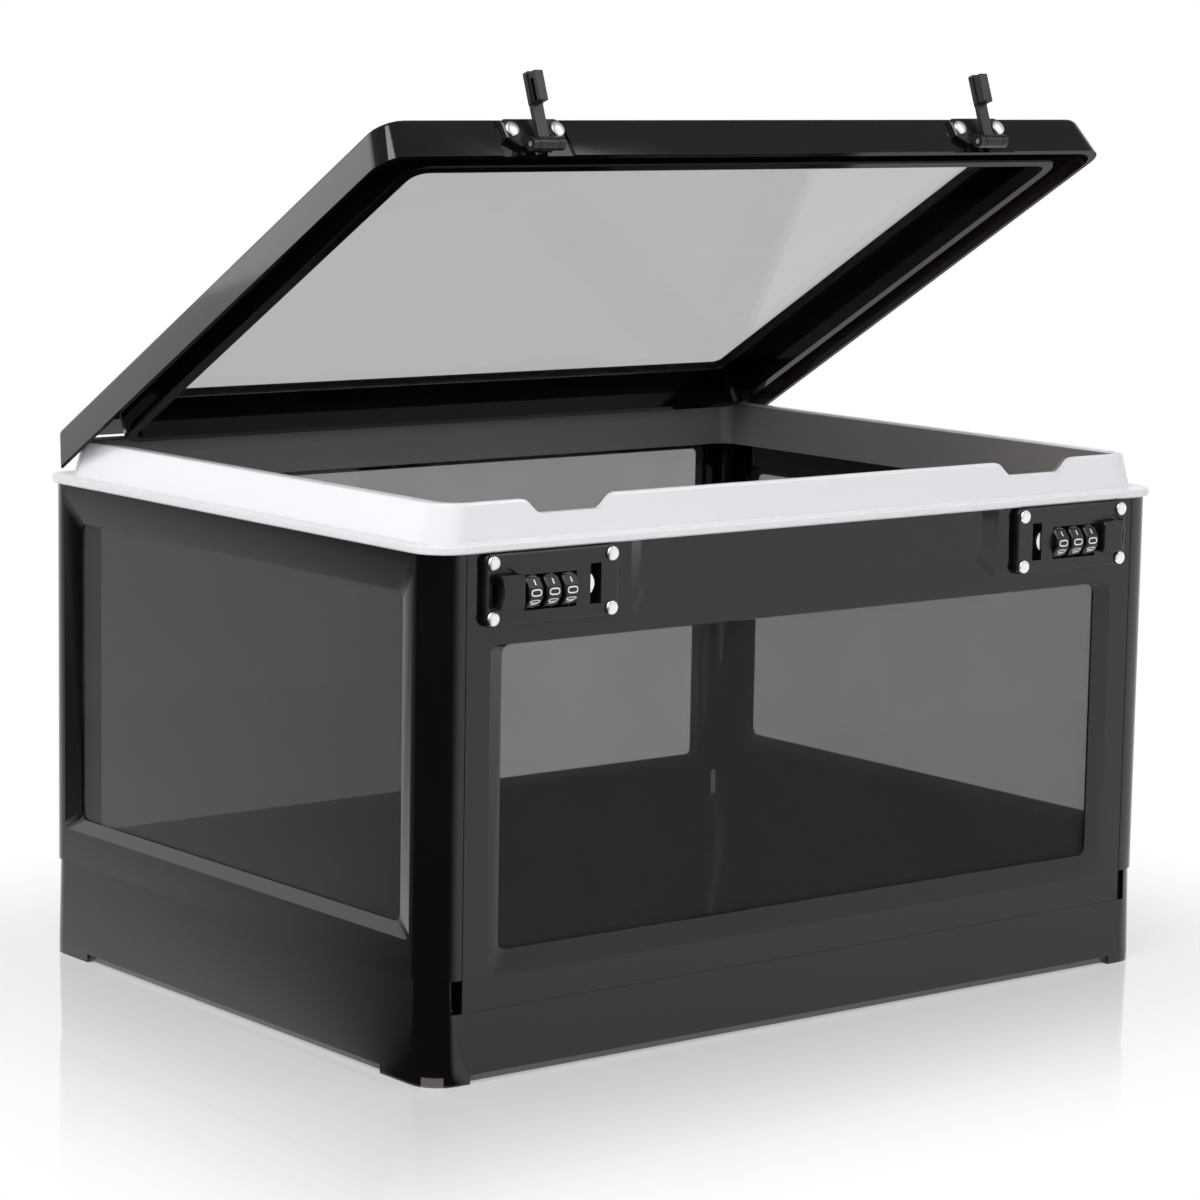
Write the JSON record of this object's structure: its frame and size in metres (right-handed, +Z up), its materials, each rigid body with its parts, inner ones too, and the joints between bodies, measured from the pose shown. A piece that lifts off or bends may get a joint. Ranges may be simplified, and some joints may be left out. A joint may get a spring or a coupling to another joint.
{
  "type": "combination lock box",
  "caption": "Countertop lock box with smoked window panels in black frames, a hinged window lid, latch hasps and dial locks on the front.",
  "frame": {"origin": "centre of the base's footprint, on the surface that the box stands on", "axes": "+Z up, +X to the right along the front, +Y towards the hinged back"},
  "size_m": [0.425, 0.3215, 0.4209],
  "materials": {
    "shell": "glossy black",
    "smoked": "clear smoked grey",
    "white": "glossy white",
    "liner": "satin dark brown",
    "lock": "satin black",
    "dial": "black with white digits",
    "chrome": "bright",
    "steel": "plain"
  },
  "bodies": {
    "base": {"base_tray": "shell", "side_panel_left": "shell", "side_panel_right": "shell", "side_window_left": "smoked", "side_window_right": "smoked", "top_rim": "white", "rim_liner": "liner", "pivot_pin_front_left": "steel", "pivot_pin_front_right": "steel", "pivot_pin_rear_left": "steel", "pivot_pin_rear_right": "steel", "hinge_pin_left": "steel", "hinge_pin_middle": "steel", "hinge_pin_right": "steel"},
    "lid": {"lid_frame": "shell", "lid_window": "smoked", "latch_bracket_left": "lock", "latch_bracket_right": "lock", "latch_rivet_left_1": "chrome", "latch_rivet_left_2": "chrome", "latch_rivet_right_1": "chrome", "latch_rivet_right_2": "chrome", "hasp_pin_left": "steel", "hasp_pin_right": "steel"},
    "hasp_left": {"hasp_left": "lock"},
    "hasp_right": {"hasp_right": "lock"},
    "front_panel": {"front_panel": "shell", "front_window": "smoked", "lock_case_left": "lock", "lock_case_right": "lock", "lock_cover_left": "lock", "lock_cover_right": "lock", "dial_shaft_left": "steel", "dial_shaft_right": "steel", "lock_rivet_left_1": "chrome", "lock_rivet_left_2": "chrome", "lock_rivet_left_3": "chrome", "lock_rivet_left_4": "chrome", "lock_rivet_right_1": "chrome", "lock_rivet_right_2": "chrome", "lock_rivet_right_3": "chrome", "lock_rivet_right_4": "chrome"},
    "rear_panel": {"rear_panel": "shell", "rear_window": "smoked"},
    "dial_left_1": {"dial_left_1": "dial"},
    "dial_left_2": {"dial_left_2": "dial"},
    "dial_left_3": {"dial_left_3": "dial"},
    "release_left": {"release_button_left": "lock", "lock_hook_left": "chrome"},
    "dial_right_1": {"dial_right_1": "dial"},
    "dial_right_2": {"dial_right_2": "dial"},
    "dial_right_3": {"dial_right_3": "dial"},
    "release_right": {"release_button_right": "lock", "lock_hook_right": "chrome"}
  },
  "joints": [
    {"name": "lid_hinge", "type": "hinge", "parent": "base", "child": "lid", "pos_m": [0, 0.1525, 0.2385], "axis": [-1, 0, 0], "range_deg": [-30.4, 65]},
    {"name": "hasp_hinge_left", "type": "hinge", "parent": "lid", "child": "hasp_left", "pos_m": [-0.1291, -0.12034, 0.39022], "axis": [-1, 0, 0], "range_deg": [-169, 0]},
    {"name": "hasp_hinge_right", "type": "hinge", "parent": "lid", "child": "hasp_right", "pos_m": [0.1291, -0.12034, 0.39022], "axis": [-1, 0, 0], "range_deg": [-169, 0]},
    {"name": "front_panel_pivot", "type": "hinge", "parent": "base", "child": "front_panel", "pos_m": [0, -0.1507, 0.219], "axis": [1, 0, 0], "range_deg": [0, 88]},
    {"name": "rear_panel_pivot", "type": "hinge", "parent": "base", "child": "rear_panel", "pos_m": [0, 0.1507, 0.219], "axis": [1, 0, 0], "range_deg": [-88, 0]},
    {"name": "dial_left_1_turn", "type": "hinge", "parent": "front_panel", "child": "dial_left_1", "pos_m": [-0.1435, -0.1549, 0.2068], "axis": [1, 0, 0], "continuous": true},
    {"name": "dial_left_2_turn", "type": "hinge", "parent": "front_panel", "child": "dial_left_2", "pos_m": [-0.153, -0.1549, 0.2068], "axis": [1, 0, 0], "continuous": true},
    {"name": "dial_left_3_turn", "type": "hinge", "parent": "front_panel", "child": "dial_left_3", "pos_m": [-0.1625, -0.1549, 0.2068], "axis": [1, 0, 0], "continuous": true},
    {"name": "release_left_slide", "type": "slide", "parent": "front_panel", "child": "release_left", "axis": [-1, 0, 0], "range_m": [0, 0.0028], "stiffness_N_per_m": 300, "springref_m": -0.003},
    {"name": "dial_right_1_turn", "type": "hinge", "parent": "front_panel", "child": "dial_right_1", "pos_m": [0.1435, -0.1549, 0.2068], "axis": [1, 0, 0], "continuous": true},
    {"name": "dial_right_2_turn", "type": "hinge", "parent": "front_panel", "child": "dial_right_2", "pos_m": [0.153, -0.1549, 0.2068], "axis": [1, 0, 0], "continuous": true},
    {"name": "dial_right_3_turn", "type": "hinge", "parent": "front_panel", "child": "dial_right_3", "pos_m": [0.1625, -0.1549, 0.2068], "axis": [1, 0, 0], "continuous": true},
    {"name": "release_right_slide", "type": "slide", "parent": "front_panel", "child": "release_right", "axis": [1, 0, 0], "range_m": [0, 0.0028], "stiffness_N_per_m": 300, "springref_m": -0.003}
  ]
}
